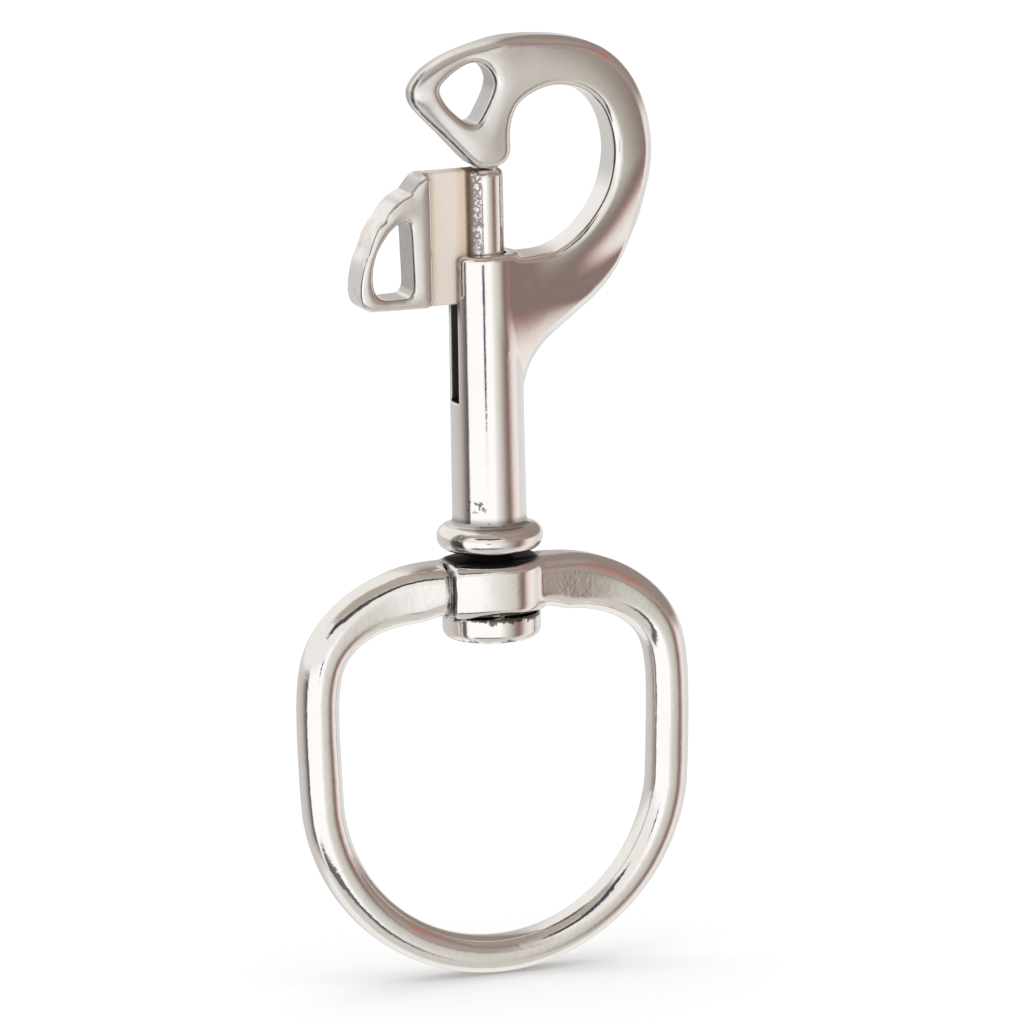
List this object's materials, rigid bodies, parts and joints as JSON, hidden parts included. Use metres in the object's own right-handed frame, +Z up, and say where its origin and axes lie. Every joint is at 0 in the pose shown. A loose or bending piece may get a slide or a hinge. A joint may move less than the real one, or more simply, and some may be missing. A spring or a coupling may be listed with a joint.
{
  "type": "swivel eye bolt snap",
  "caption": "Cast hook closed by a spring bolt with a windowed thumb lever, on a large ring that swivels on a headed pin.",
  "frame": {"origin": "the ring's bearing point: the lowest point of its opening, on the swivel axis", "axes": "+Z up the swivel axis and barrel towards the hook, +X across the flat side towards the hook's arch, Y through the thickness; the thumb lever is on the -X side"},
  "size_m": [0.0526, 0.0138, 0.1206],
  "materials": {
    "hook_casting": "satin, tumbled and polished casting",
    "bolt_steel": "polished",
    "lever_casting": "satin face, as-cast web",
    "spring_wire": "drawn wire",
    "pin_steel": "polished",
    "ring_casting": "polished casting"
  },
  "bodies": {
    "hook": {"hook_body": "hook_casting", "swivel_pin": "pin_steel", "bolt_spring": "spring_wire"},
    "bolt": {"bolt_rod": "bolt_steel", "thumb_lever": "lever_casting"},
    "ring": {"swivel_ring": "ring_casting"}
  },
  "joints": [
    {"name": "bolt_slide", "type": "slide", "parent": "hook", "child": "bolt", "axis": [0, 0, -1], "range_m": [0, 0.0124], "stiffness_N_per_m": 1000, "springref_m": -0.005, "deforming": ["bolt_spring"]},
    {"name": "ring_swivel", "type": "hinge", "parent": "hook", "child": "ring", "pos_m": [0, 0, 0.0457], "axis": [0, 0, 1], "continuous": true}
  ]
}
